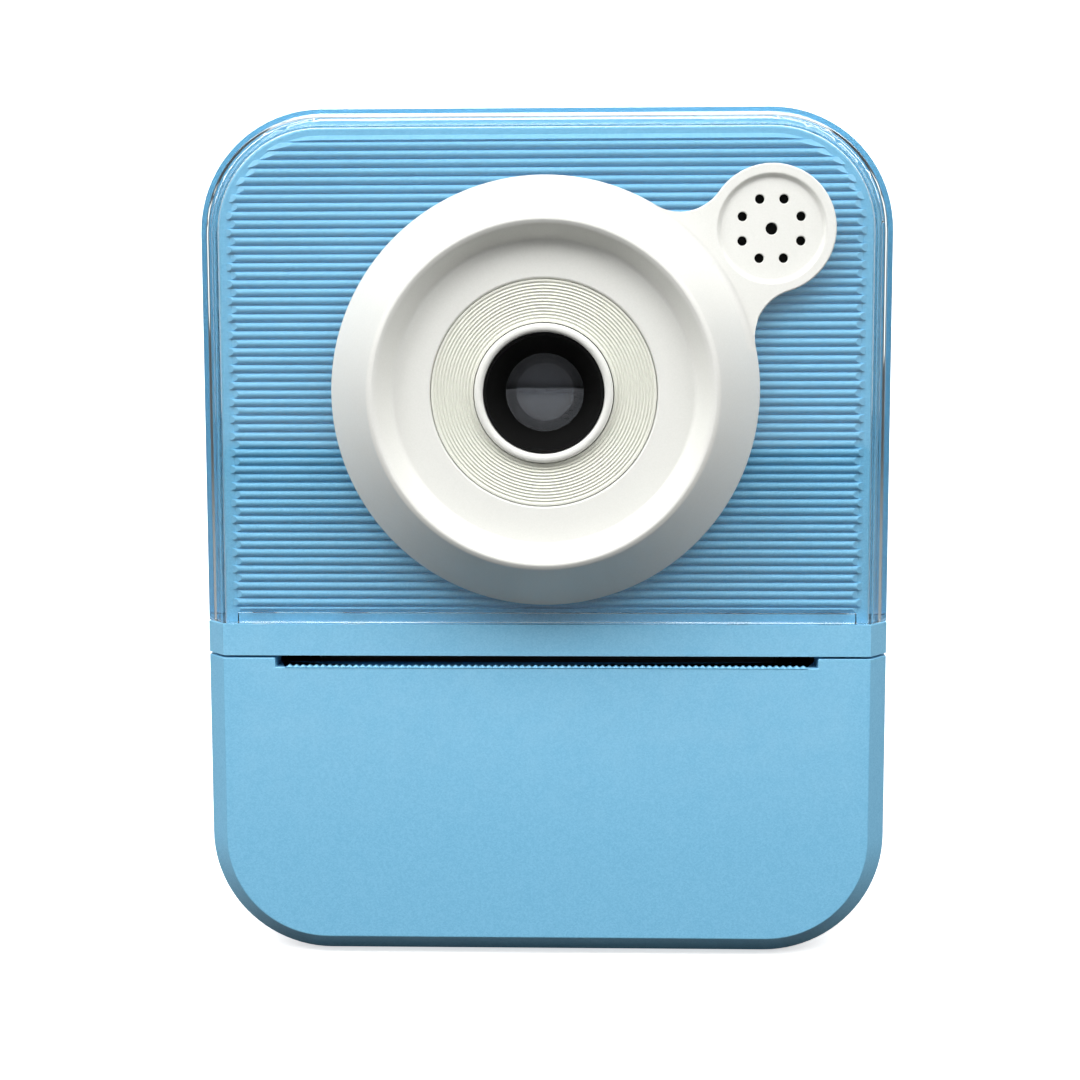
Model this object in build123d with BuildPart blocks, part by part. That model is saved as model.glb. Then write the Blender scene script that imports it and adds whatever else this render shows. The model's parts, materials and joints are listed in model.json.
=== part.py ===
"""Toy instant-print camera: shells, lens, thermal printer, hinged paper door, keys and electronics.

The camera stands on its base at Z = 0 and faces -Y, with +X on the viewer's right. All sizes are in millimetres.
"""

import math
import os

from build123d import *

# Overall body
body_width = 82.0
body_height = 102.0
base_lift = 0.3
corner_radius = 14.5
front_y = -16.4
back_y = 23.7
split_y = 2.0
wall = 2.0
bevel_side = 2.3
bevel_depth = 3.0
seam = 0.3
gap = 0.2

# Front face: door below, plain strip, ribbed panel under a clear cover
door_top_z = 36.95
strip_bottom_z = door_top_z + seam
strip_top_z = 41.0
rib_plane_y = -14.4
panel_thickness = 2.0
rib_pitch = 1.0
rib_radius = 0.46
rib_field_half_width = 37.4
rib_field_bottom_z = 42.0
rib_field_top_z = 98.9
panel_inset = 2.6
inner_shell_inset = 1.5
front_cavity_inset = 3.6
cover_front_wall = 1.2
cover_side_wall = 1.3
cover_back_y = -4.4

# Lens bezel with its sound-hole lobe; heights are measured forward from the rib plane
lens_z = 68.7
bezel_base_radius = 25.2
bezel_base_height = 2.6
bezel_flange_height = 2.2
bezel_rim_radius = 20.0
bezel_rim_inner_radius = 19.2
bezel_height = 10.1
bezel_floor_radius = 17.5
bezel_floor_height = 7.3
bezel_wall = 1.6
fluted_outer_radius = 13.0
fluted_inner_radius = 8.0
flute_count = 12
lens_ring_inner_radius = 7.0
lens_stop_radius = 4.6
lobe_x = 26.4
lobe_z = 87.6
lobe_radius = 7.5
lobe_recess_depth = 0.5
lobe_recess_radius = 6.3
lobe_blend_radius = 5.5
sound_hole_circle = 3.68
sound_hole_radius = 0.55
panel_bore_radius = 11.0

# Paper slot and door
slot_half_width = 32.5
slot_height = 1.15
tooth_half_width = 31.3
tooth_pitch = 0.8
tooth_height = 0.3
hinge_z = 6.5
hinge_disc_radius = 8.2
hinge_pin_radius = 1.0
hinge_barrel_radius = 2.2
hinge_arm_inner_x = 29.6
hinge_arm_outer_x = 33.0
running_clearance = 0.05

# Thermal printer
platen_y = -8.4
platen_z = 29.6
platen_radius = 5.0
platen_half_length = 28.5
platen_shaft_radius = 1.5
bracket_inner_x = 29.2
bracket_outer_x = 30.6
frame_inner_x = 31.0
frame_outer_x = 32.6
paper_gap = 0.15
head_thickness = 1.0
head_height = 8.0
sink_thickness = 2.0
spring_length = 3.0
roll_y = 3.0
roll_z = 16.0
roll_radius = 12.1
core_radius = 6.5
tray_gap = 0.3
tray_thickness = 0.8

# Gear train, module 0.5, on the right-hand frame plate
gear_module = 0.5
platen_teeth = 20
drive_teeth = 20
reduction_small_teeth = 14
reduction_big_teeth = 36
pinion_teeth = 10
gear_layer_x = 33.0
gear_width = 2.0
big_layer_x = 35.3
big_width = 1.5
gear_post_radius = 1.0
motor_radius = 7.5
motor_inner_x = 18.0
motor_shaft_radius = 0.75

# Electronics and screen
window_width = 58.0
window_height = 45.0
window_z = 72.0
window_thickness = 1.5
screen_width = 60.0
screen_height = 47.0
key_board_y = 18.2
board_thickness = 1.2
switch_height = 1.2
usb_z = 30.0
card_z = 43.5
port_y = 15.4

# Keys
key_proud = 0.8
key_travel = 0.5
pad_z = 27.0
pad_radius = 13.0
pad_inner_radius = 5.3
ok_radius = 4.5
side_key_x = 25.0
side_key_radius = 5.0
shutter_x = -22.0
power_x = -2.0
top_key_y = 10.0
shutter_radius = 6.5
power_radius = 3.2
shutter_proud = 1.8
power_proud = 1.0

# Screws
screw_x = 34.0
screw_low_z = 54.0
screw_high_z = 91.0
boss_radius = 3.0
screw_seat_y = 8.0

middle_z = (body_height + base_lift) / 2
bevel_angle = math.degrees(math.atan(bevel_side / bevel_depth))
lens_axis = Axis((0, 0, lens_z), (0, 1, 0))

# The platen leaves the fixed gears and the print head square to its swing about the hinge.
swing_y = platen_y - split_y
swing_z = platen_z - hinge_z
swing_radius = math.hypot(swing_y, swing_z)
nip_y = swing_z / swing_radius
nip_z = -swing_y / swing_radius

drive_distance = gear_module * (platen_teeth + drive_teeth) / 2
drive_y = platen_y + drive_distance * nip_y
drive_z = platen_z + drive_distance * nip_z
reduction_y = drive_y + gear_module * (drive_teeth + reduction_small_teeth) / 2
reduction_z = drive_z
motor_y = reduction_y
motor_z = reduction_z + gear_module * (reduction_big_teeth + pinion_teeth) / 2


def facing(y):
    """Plane at depth y that looks out of the front: sketch x is +X, sketch y is +Z."""
    return Plane.XZ.offset(-y)


def outline(inset, y):
    """Rounded outline of the body, drawn at depth y and pulled in by inset."""
    with BuildSketch(facing(y)) as sketch:
        with Locations((0, middle_z)):
            RectangleRounded(body_width - 2 * inset, body_height - base_lift - 2 * inset, corner_radius - inset)
    return sketch.sketch


def side_disc(radius):
    """Disc about the hinge axis, drawn in the side view."""
    with BuildSketch(Plane.YZ) as sketch:
        with Locations((split_y, hinge_z)):
            Circle(radius)
    return sketch.sketch


def bezel_outline(inset, height):
    """Round bezel blended into its small lobe, pulled in by inset."""
    reach = math.hypot(lobe_x, lobe_z - lens_z)
    heading = math.atan2(lobe_z - lens_z, lobe_x)
    to_bezel = bezel_base_radius + lobe_blend_radius
    to_lobe = lobe_radius + lobe_blend_radius
    at_bezel = math.acos((to_bezel**2 + reach**2 - to_lobe**2) / (2 * to_bezel * reach))
    at_lobe = math.acos((to_lobe**2 + reach**2 - to_bezel**2) / (2 * to_lobe * reach))
    bezel = bezel_base_radius - inset
    lobe = lobe_radius - inset
    blend = lobe_blend_radius + inset

    def around(x, z, radius, angle):
        return (x + radius * math.cos(angle), z + radius * math.sin(angle))

    corners = []
    middles = []
    for side in (1, -1):
        turn = heading + side * at_bezel
        centre = around(0, lens_z, to_bezel, turn)
        corners.append((around(0, lens_z, bezel, turn), around(lobe_x, lobe_z, lobe, heading + math.pi - side * at_lobe)))
        between = math.atan2(lobe_z - centre[1], lobe_x - centre[0])
        towards = math.atan2(lens_z - centre[1], -centre[0])
        swing = (between - towards + math.pi) % (2 * math.pi) - math.pi
        middles.append(around(*centre, blend, towards + swing / 2))
    with BuildSketch(facing(rib_plane_y - height)) as sketch:
        with BuildLine():
            ThreePointArc(corners[0][0], around(0, lens_z, bezel, heading + math.pi), corners[1][0])
            ThreePointArc(corners[1][0], middles[1], corners[1][1])
            ThreePointArc(corners[1][1], around(lobe_x, lobe_z, lobe, heading), corners[0][1])
            ThreePointArc(corners[0][1], middles[0], corners[0][0])
        make_face()
    return sketch.sketch


def gear_outline(teeth, x, y, z, turn=0.0):
    """Spur gear profile with straight-flanked teeth, centred at (y, z) in the plane at x."""
    pitch_radius = gear_module * teeth / 2
    tip = pitch_radius + gear_module * 0.95
    root = pitch_radius - gear_module * 1.2
    step = 360 / teeth
    tooth = [(root, 0.31), (pitch_radius, 0.225), (tip, 0.105)]
    points = []
    for index in range(teeth):
        for radius, share in tooth + [(r, -s) for r, s in reversed(tooth)]:
            angle = math.radians(turn + step * (index - share))
            points.append((y + radius * math.cos(angle), z + radius * math.sin(angle)))
    with BuildSketch(Plane.YZ.offset(x)) as sketch:
        with BuildLine():
            Polyline(*points, close=True)
        make_face()
    return sketch.sketch


def save(builder, label):
    """Label one finished piece and write its file."""
    builder.part.label = label
    export_step(builder.part, f"parts/{label}.step")


os.makedirs("parts", exist_ok=True)

# Shells ----------------------------------------------------------------------------------------------------

rib_count = int(round((rib_field_top_z - rib_field_bottom_z) / rib_pitch))
screw_places = [(x, z) for x in (-screw_x, screw_x) for z in (screw_low_z, screw_high_z)]
bezel_screw_angles = (100, 220, 340)
bezel_screw_circle = 19.0
tab_places = [(-34.0, 2.6), (-23.0, 2.6), (23.0, 2.6), (34.0, 2.6)]
hook_places = (-20.5, 21.0)

with BuildPart() as front_housing:
    extrude(outline(0, split_y), amount=split_y - cover_back_y - gap)
    extrude(outline(inner_shell_inset, split_y), amount=split_y - rib_plane_y - 1.2)
    extrude(
        outline(inner_shell_inset, rib_plane_y + 1.2),
        amount=1.2,
        taper=math.degrees(math.atan((panel_inset - inner_shell_inset) / 1.2)),
    )
    split(bisect_by=Plane.XY.offset(strip_bottom_z), keep=Keep.TOP)
    with BuildPart(mode=Mode.PRIVATE) as strip:
        extrude(outline(0, split_y), amount=split_y - front_y - bevel_depth)
        extrude(outline(0, front_y + bevel_depth), amount=bevel_depth, taper=bevel_angle)
        split(bisect_by=Plane.XY.offset(strip_bottom_z), keep=Keep.TOP)
        split(bisect_by=Plane.XY.offset(strip_top_z), keep=Keep.BOTTOM)
    add(strip.part)
    # Hollow, open at the back and below
    extrude(
        outline(front_cavity_inset, rib_plane_y + panel_thickness),
        amount=-(split_y - rib_plane_y),
        mode=Mode.SUBTRACT,
    )
    # Ribs: every second one reaches a little further
    for turn, reach in enumerate((0.0, 0.5)):
        with BuildSketch(facing(rib_plane_y + 0.1)):
            with Locations((0, (rib_field_bottom_z + rib_field_top_z) / 2)):
                Rectangle(2 * (rib_field_half_width + reach) + 1, rib_field_top_z - rib_field_bottom_z)
            with Locations((0, middle_z)):
                RectangleRounded(
                    2 * (rib_field_half_width + reach),
                    2 * (rib_field_top_z - middle_z),
                    corner_radius - (body_width / 2 - rib_field_half_width),
                    mode=Mode.INTERSECT,
                )
        prism = extrude(amount=rib_radius + 0.2, taper=58, mode=Mode.PRIVATE)
        with BuildSketch(Plane.YZ):
            for index in range(turn, rib_count, 2):
                with Locations((rib_plane_y, rib_field_bottom_z + rib_pitch * (index + 0.5))):
                    Circle(rib_radius)
        bars = extrude(amount=body_width / 2, both=True, mode=Mode.PRIVATE)
        add(bars & prism)
    # Openings for the lens, the sound capsule, the bezel screws and the cover's snap tabs
    with Locations(Location((0, rib_plane_y + 1, lens_z), (90, 0, 0))):
        Cylinder(panel_bore_radius, 6, mode=Mode.SUBTRACT)
    with Locations(Location((lobe_x, rib_plane_y + 1, lobe_z), (90, 0, 0))):
        Cylinder(5.0, 6, mode=Mode.SUBTRACT)
    for angle in bezel_screw_angles:
        x = bezel_screw_circle * math.cos(math.radians(angle))
        z = lens_z + bezel_screw_circle * math.sin(math.radians(angle))
        with Locations(Location((x, rib_plane_y + 1, z), (90, 0, 0))):
            Cylinder(1.1, 6, mode=Mode.SUBTRACT)
    for x, width in tab_places:
        with Locations((x, rib_plane_y - 0.9, strip_top_z)):
            Box(width + 0.4, 1.2, 2.8, mode=Mode.SUBTRACT)
    for x in hook_places:
        with Locations((x, -8.4, body_height - inner_shell_inset)):
            Box(4.4, 1.8, 1.4, mode=Mode.SUBTRACT)
    # Screw posts
    with BuildSketch(facing(split_y - 0.1)):
        with Locations(*screw_places):
            Circle(boss_radius)
    extrude(amount=split_y - 0.1 - rib_plane_y - panel_thickness + 0.1)
    with BuildSketch(facing(split_y)):
        with Locations(*screw_places):
            Circle(1.05)
    extrude(amount=12.0, mode=Mode.SUBTRACT)
save(front_housing, "front_housing")

with BuildPart() as clear_cover:
    extrude(outline(0, cover_back_y), amount=cover_back_y - front_y - bevel_depth)
    extrude(outline(0, front_y + bevel_depth), amount=bevel_depth, taper=bevel_angle)
    extrude(
        outline(cover_side_wall, cover_back_y),
        amount=cover_back_y - rib_plane_y - 1.2,
        mode=Mode.SUBTRACT,
    )
    extrude(
        outline(cover_side_wall, rib_plane_y + 1.2),
        amount=1.2 + rib_plane_y - front_y - cover_front_wall,
        taper=31,
        mode=Mode.SUBTRACT,
    )
    split(bisect_by=Plane.XY.offset(strip_top_z + gap / 2), keep=Keep.TOP)
    # Bottom edge, snap tabs and top hooks
    with Locations((0, (front_y + rib_plane_y) / 2 + 0.2, strip_top_z + 0.7)):
        Box(body_width - 8, rib_plane_y - front_y - 1.2, 1.2)
    for x, width in tab_places:
        with Locations((x, rib_plane_y - 0.9, strip_top_z + 0.1)):
            Box(width, 0.8, 2.0)
    for x in hook_places:
        with Locations((x, -8.4, body_height - cover_side_wall)):
            Box(4.0, 1.4, 1.0)
    extrude(bezel_outline(0.3, 4.0), amount=-6, mode=Mode.SUBTRACT)
save(clear_cover, "clear_cover")

with BuildPart() as rear_housing:
    extrude(outline(0, split_y), amount=-(back_y - split_y - bevel_depth))
    extrude(outline(0, back_y - bevel_depth), amount=-bevel_depth, taper=bevel_angle)
    with BuildPart(mode=Mode.PRIVATE) as disc_part:
        extrude(outline(0, split_y + 1), amount=hinge_disc_radius + 2)
        extrude(side_disc(hinge_disc_radius), amount=body_width / 2, both=True, mode=Mode.INTERSECT)
    add(disc_part.part)
    # Standing pad, proud of the rest of the underside so that the door carries no weight
    with Locations((0, 8.5, base_lift / 2 + 0.5)):
        Box(48, 21, base_lift + 1.0)
    extrude(
        outline(wall, split_y - 2 * hinge_disc_radius),
        amount=-(back_y - wall - bevel_depth + 1 - split_y + 2 * hinge_disc_radius),
        mode=Mode.SUBTRACT,
    )
    extrude(
        outline(wall, back_y - wall - bevel_depth + 1),
        amount=-(bevel_depth - 1),
        taper=bevel_angle,
        mode=Mode.SUBTRACT,
    )
    # Hinge bosses at the lower corners, and a slot for each arm of the door
    for side in (-1, 1):
        with BuildSketch(Plane.YZ.offset(side * (hinge_arm_outer_x + seam))):
            with Locations((split_y, hinge_z)):
                Circle(hinge_barrel_radius + 0.6)
        extrude(amount=side * 4.2)
        with BuildSketch(Plane.YZ.offset(side * hinge_arm_inner_x)):
            with Locations((split_y, hinge_z)):
                Circle(hinge_pin_radius)
        extrude(amount=side * 7.4, mode=Mode.SUBTRACT)
        with Locations((side * (hinge_arm_inner_x + hinge_arm_outer_x) / 2, split_y - 2.9, 1.5)):
            Box(hinge_arm_outer_x - hinge_arm_inner_x + 2 * seam, 12.0, 7.0, mode=Mode.SUBTRACT)
    # Screen opening with a ledge for the window
    with BuildSketch(facing(back_y)):
        with Locations((0, window_z)):
            RectangleRounded(window_width + 2 * gap, window_height + 2 * gap, 4 + gap)
    extrude(amount=window_thickness + 0.1, mode=Mode.SUBTRACT)
    with BuildSketch(facing(back_y)):
        with Locations((0, window_z)):
            RectangleRounded(window_width - 5, window_height - 5, 2)
    extrude(amount=wall + 1, mode=Mode.SUBTRACT)
    # Key openings in the back and the top
    with BuildSketch(facing(back_y)):
        with Locations((0, pad_z)):
            Circle(pad_radius + seam)
        with Locations((-side_key_x, pad_z), (side_key_x, pad_z)):
            Circle(side_key_radius + seam)
    extrude(amount=wall + 1, mode=Mode.SUBTRACT)
    with BuildSketch(Plane.XY.offset(body_height)):
        with Locations((shutter_x, top_key_y)):
            Circle(shutter_radius + seam)
        with Locations((power_x, top_key_y)):
            Circle(power_radius + seam)
    extrude(amount=-wall - 1, mode=Mode.SUBTRACT)
    # Port openings in the left side
    with BuildSketch(Plane.YZ.offset(-body_width / 2 - 1)):
        with Locations((port_y, usb_z)):
            SlotOverall(9.4, 3.6, rotation=90)
        with Locations((16.0, card_z)):
            SlotOverall(12.0, 1.4, rotation=90)
    extrude(amount=wall + 2, mode=Mode.SUBTRACT)
    # Strap pocket in the right side
    with Locations((body_width / 2 - 2.5, 13.0, 70.0)):
        Box(5.0, 8.4, 13.6)
    with Locations((body_width / 2 - 1.7, 13.0, 70.0)):
        Box(4.2, 6.4, 10.0, mode=Mode.SUBTRACT)
    with Locations((body_width / 2 - 1.6, 13.0, 70.0)):
        Cylinder(0.8, 12.0, mode=Mode.SUBTRACT)
    # Screw tubes: a wide bore down to the seat, then a clearance hole
    with BuildSketch(facing(back_y - wall)):
        with Locations(*screw_places):
            Circle(boss_radius)
    extrude(amount=back_y - wall - split_y - gap)
    with BuildSketch(facing(back_y)):
        with Locations(*screw_places):
            Circle(2.4)
    extrude(amount=back_y - screw_seat_y, mode=Mode.SUBTRACT)
    with BuildSketch(facing(screw_seat_y + 1)):
        with Locations(*screw_places):
            Circle(1.2)
    extrude(amount=screw_seat_y, mode=Mode.SUBTRACT)
save(rear_housing, "rear_housing")

# Bezel and lens --------------------------------------------------------------------------------------------


def turned(points, y_origin=rib_plane_y):
    """Profile of (radius, height) points beside the lens axis, for a turned piece."""
    with BuildSketch(Plane((0, y_origin, lens_z), x_dir=(1, 0, 0), z_dir=(0, 0, 1))) as sketch:
        with BuildLine():
            Polyline(*[(radius, -height) for radius, height in points], close=True)
        make_face()
    return sketch.sketch


with BuildPart() as lens_bezel:
    revolve(
        turned([
            (bezel_base_radius, bezel_base_height),
            (bezel_rim_radius, bezel_height),
            (bezel_rim_inner_radius, bezel_height),
            (bezel_floor_radius, bezel_floor_height),
            (fluted_outer_radius + 0.05, bezel_floor_height),
            (fluted_outer_radius + 0.05, bezel_floor_height - 1.2),
            (fluted_inner_radius + 0.1, bezel_floor_height - 1.2),
            (fluted_inner_radius + 0.1, bezel_floor_height - 2.6),
            (bezel_floor_radius + 0.4, bezel_floor_height - 2.6),
            (bezel_rim_inner_radius, bezel_height - 2.2),
            (bezel_base_radius - 2.2, bezel_base_height),
        ]),
        axis=lens_axis,
    )
    # Flange that sits on the cover, and the skirt that passes through it
    extrude(bezel_outline(0, bezel_flange_height), amount=bezel_base_height - bezel_flange_height)
    extrude(bezel_outline(0.5, 0.7), amount=bezel_flange_height - 0.7)
    with BuildSketch(facing(rib_plane_y - 0.7)):
        with Locations((0, lens_z)):
            Circle(bezel_base_radius - 2.2)
    extrude(amount=bezel_base_height - 0.7, mode=Mode.SUBTRACT)
    # Dished sound-hole disc on the lobe
    with BuildSketch(facing(rib_plane_y - bezel_base_height)):
        with Locations((lobe_x, lobe_z)):
            Circle(lobe_recess_radius)
    extrude(amount=-lobe_recess_depth, taper=30, mode=Mode.SUBTRACT)
    with BuildSketch(facing(rib_plane_y - 0.7)):
        with Locations((lobe_x, lobe_z)):
            Circle(5.2)
    extrude(amount=0.6, mode=Mode.SUBTRACT)
    with BuildSketch(facing(rib_plane_y - bezel_base_height)):
        with Locations((lobe_x, lobe_z)):
            Circle(sound_hole_radius + 0.15)
            with PolarLocations(sound_hole_circle, 8, start_angle=22.5):
                Circle(sound_hole_radius)
    extrude(amount=-4, mode=Mode.SUBTRACT)
    # Screw bosses inside the cone
    for angle in bezel_screw_angles:
        x = bezel_screw_circle * math.cos(math.radians(angle))
        z = lens_z + bezel_screw_circle * math.sin(math.radians(angle))
        with BuildSketch(facing(rib_plane_y - 0.7)):
            with Locations((x, z)):
                Circle(2.2)
                Circle(0.8, mode=Mode.SUBTRACT)
        extrude(amount=5.0)
save(lens_bezel, "lens_bezel")

with BuildPart() as fluted_ring:
    top = bezel_floor_height - 0.05
    flute_pitch = (fluted_outer_radius - fluted_inner_radius - 0.6) / flute_count
    profile = [(fluted_inner_radius + 0.12, top - 1.1), (fluted_inner_radius + 0.12, top)]
    for index in range(flute_count):
        start = fluted_inner_radius + 0.35 + index * flute_pitch
        profile.append((start, top))
        profile.append((start + flute_pitch * 0.5, top - 0.14))
    profile.append((fluted_outer_radius - 0.25, top))
    profile.append((fluted_outer_radius - 0.02, top))
    profile.append((fluted_outer_radius - 0.02, top - 1.1))
    revolve(turned(profile), axis=lens_axis)
save(fluted_ring, "fluted_ring")

with BuildPart() as lens_ring:
    revolve(
        turned([
            (lens_ring_inner_radius, 2.0),
            (lens_ring_inner_radius, 8.0),
            (fluted_inner_radius, 8.0),
            (fluted_inner_radius, 2.0),
        ]),
        axis=lens_axis,
    )
    fillet(lens_ring.edges().group_by(Axis.Y)[0], radius=0.45)
save(lens_ring, "lens_ring")

with BuildPart() as lens_hood:
    revolve(
        turned([
            (lens_ring_inner_radius - 0.1, 7.2),
            (lens_ring_inner_radius - 0.4, 7.2),
            (lens_stop_radius, 2.6),
            (lens_stop_radius, 1.9),
            (lens_ring_inner_radius - 0.1, 1.9),
        ]),
        axis=lens_axis,
    )
save(lens_hood, "lens_hood")

with BuildPart() as front_lens:
    with BuildSketch(Plane((0, rib_plane_y, lens_z), x_dir=(1, 0, 0), z_dir=(0, 0, 1))) as half_lens:
        with BuildLine():
            front_curve = ThreePointArc((0, -2.3), (3.0, -1.93), (6.0, -0.8))
            Polyline(front_curve @ 1, (6.0, 0.4), (0, 0.4), front_curve @ 0)
        make_face()
    revolve(axis=lens_axis)
save(front_lens, "front_lens")

with BuildPart() as lens_barrel:
    revolve(
        turned([
            (8.2, 1.6),
            (6.1, 1.6),
            (6.1, -0.5),
            (3.2, -0.5),
            (3.2, -3.0),
            (4.1, -3.0),
            (4.1, -5.2),
            (6.1, -5.2),
            (6.1, -7.6),
            (8.2, -7.6),
        ]),
        axis=lens_axis,
    )
save(lens_barrel, "lens_barrel")

with BuildPart() as inner_lens:
    with BuildSketch(Plane((0, rib_plane_y, lens_z), x_dir=(1, 0, 0), z_dir=(0, 0, 1))) as half_lens:
        with BuildLine():
            back_curve = ThreePointArc((0, 4.9), (2.0, 4.7), (4.0, 4.1))
            Polyline(back_curve @ 1, (4.0, 3.1), (0, 3.1), back_curve @ 0)
        make_face()
    revolve(axis=lens_axis)
save(inner_lens, "inner_lens")

with BuildPart() as image_sensor:
    with Locations((0, rib_plane_y + 7.0, lens_z)):
        Box(7.6, 1.2, 7.6)
save(image_sensor, "image_sensor")

with BuildPart() as sensor_board:
    with BuildSketch(facing(rib_plane_y + 7.7)) as plate_sketch:
        with Locations((0, lens_z)):
            RectangleRounded(19, 19, 1.5)
    extrude(amount=-1.0)
    with Locations((0, rib_plane_y + 9.5, lens_z - 5)):
        Box(10, 1.5, 4)
save(sensor_board, "sensor_board")

with BuildPart() as sound_capsule:
    with BuildSketch(facing(rib_plane_y + 2.8)) as capsule:
        with Locations((lobe_x, lobe_z)):
            Circle(4.8)
    extrude(amount=4.0)
save(sound_capsule, "sound_capsule")

# Paper door and platen -------------------------------------------------------------------------------------

with BuildPart() as paper_door:
    extrude(outline(0, split_y - seam), amount=split_y - seam - front_y - bevel_depth)
    extrude(outline(0, front_y + bevel_depth), amount=bevel_depth, taper=bevel_angle)
    extrude(outline(wall, split_y), amount=split_y - front_y - bevel_depth - 1, mode=Mode.SUBTRACT)
    extrude(
        outline(wall, front_y + bevel_depth + 1),
        amount=bevel_depth + 1 - wall,
        taper=bevel_angle,
        mode=Mode.SUBTRACT,
    )
    split(bisect_by=Plane.XY.offset(door_top_z), keep=Keep.BOTTOM)
    # Top lip behind the front panel, lowered to leave the paper slot
    with Locations((0, front_y + 2.7, door_top_z - 1.5)):
        Box(body_width - 2 * wall - 1, 3.4, 3.0)
    with Locations((0, front_y, door_top_z)):
        Box(2 * slot_half_width, 20, 2 * slot_height, mode=Mode.SUBTRACT)
    # Tear teeth along the lowered edge
    tooth_count = int(2 * tooth_half_width / tooth_pitch)
    with BuildSketch(facing(front_y + 0.05)):
        with BuildLine():
            edge = door_top_z - slot_height
            points = [(-tooth_count * tooth_pitch / 2, edge - 0.3)]
            for index in range(tooth_count):
                left = (index - tooth_count / 2) * tooth_pitch
                points.append((left, edge))
                points.append((left + tooth_pitch / 2, edge + tooth_height))
            points.append((tooth_count * tooth_pitch / 2, edge))
            points.append((tooth_count * tooth_pitch / 2, edge - 0.3))
            Polyline(*points, close=True)
        make_face()
    extrude(amount=-0.8)
    # Clear the hinge discs of the rear shell
    extrude(side_disc(hinge_disc_radius + seam), amount=body_width / 2, both=True, mode=Mode.SUBTRACT)
    for side in (-1, 1):
        # Hinge arm with its barrel
        with BuildSketch(Plane.YZ.offset(side * hinge_arm_inner_x)):
            with Locations((split_y, hinge_z)):
                Circle(hinge_barrel_radius)
            with Locations((split_y - 7.0, hinge_z - 0.5)):
                Rectangle(14.0, 3.2)
            with Locations((split_y - 11.4, hinge_z - 2.0)):
                Rectangle(5.2, 5.4)
            with Locations((split_y, hinge_z)):
                Circle(hinge_pin_radius + running_clearance, mode=Mode.SUBTRACT)
        extrude(amount=side * (hinge_arm_outer_x - hinge_arm_inner_x))
        # Platen bracket
        with BuildSketch(Plane.YZ.offset(side * bracket_inner_x)):
            with BuildLine():
                Polyline(
                    (front_y + wall - 0.5, platen_z - 11),
                    (front_y + wall - 0.5, platen_z + 4.6),
                    (platen_y + 1, platen_z + 4.6),
                    (platen_y + 4.2, platen_z + 1),
                    (platen_y + 4.2, platen_z - 2),
                    (platen_y, platen_z - 5),
                    close=True,
                )
            make_face()
            with Locations((platen_y, platen_z)):
                Circle(2.5, mode=Mode.SUBTRACT)
        extrude(amount=side * (bracket_outer_x - bracket_inner_x))
save(paper_door, "paper_door")

with BuildPart() as hinge_pins:
    for side in (-1, 1):
        with BuildSketch(Plane.YZ.offset(side * (hinge_arm_inner_x - 0.2))):
            with Locations((split_y, hinge_z)):
                Circle(hinge_pin_radius)
        extrude(amount=side * 7.4)
save(hinge_pins, "hinge_pins")


def bar(x_start, x_end, y, z, radius, hole=0.0):
    """Round bar or sleeve parallel to X, added to the piece being made."""
    with BuildSketch(Plane.YZ.offset(x_start)) as section:
        with Locations((y, z)):
            Circle(radius)
            if hole:
                Circle(hole, mode=Mode.SUBTRACT)
    extrude(section.sketch, amount=x_end - x_start)


with BuildPart() as platen_bushes:
    for side in (-1, 1):
        hole = platen_shaft_radius + running_clearance
        bar(side * bracket_inner_x, side * (frame_outer_x - 0.2), platen_y, platen_z, 2.5, hole)
        bar(side * (bracket_inner_x - 0.4), side * bracket_inner_x, platen_y, platen_z, 3.1, hole)
save(platen_bushes, "platen_bushes")

with BuildPart() as platen_shaft:
    bar(-frame_outer_x - 0.4, gear_layer_x + gear_width + 0.1, platen_y, platen_z, platen_shaft_radius)
save(platen_shaft, "platen_shaft")

with BuildPart() as platen_rubber:
    bar(-platen_half_length, platen_half_length, platen_y, platen_z, platen_radius, platen_shaft_radius)
save(platen_rubber, "platen_rubber")

# Each gear is turned so that its teeth stand in the gaps of the one before it.
nip_turn = math.degrees(math.atan2(nip_z, nip_y))


def meshed_turn(teeth, direction, other_teeth, other_turn):
    """Turn of a gear whose neighbour lies back along direction and is turned by other_turn."""
    other_phase = ((direction - other_turn) * other_teeth / 360) % 1
    return direction + 180 + 360 / teeth * (0.5 + other_phase)


platen_turn = nip_turn
drive_turn = meshed_turn(drive_teeth, nip_turn, platen_teeth, platen_turn)
small_turn = meshed_turn(reduction_small_teeth, 0, drive_teeth, drive_turn)
pinion_turn = meshed_turn(pinion_teeth, 90, reduction_big_teeth, 90)

with BuildPart() as platen_gear:
    extrude(gear_outline(platen_teeth, gear_layer_x, platen_y, platen_z, platen_turn), amount=gear_width)
    with BuildSketch(Plane.YZ.offset(gear_layer_x)):
        with Locations((platen_y, platen_z)):
            Circle(platen_shaft_radius)
    extrude(amount=gear_width, mode=Mode.SUBTRACT)
save(platen_gear, "platen_gear")

with BuildPart() as drive_gear:
    extrude(gear_outline(drive_teeth, gear_layer_x, drive_y, drive_z, drive_turn), amount=gear_width)
    with BuildSketch(Plane.YZ.offset(gear_layer_x)):
        with Locations((drive_y, drive_z)):
            Circle(gear_post_radius + running_clearance)
    extrude(amount=gear_width, mode=Mode.SUBTRACT)
save(drive_gear, "drive_gear")

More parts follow.
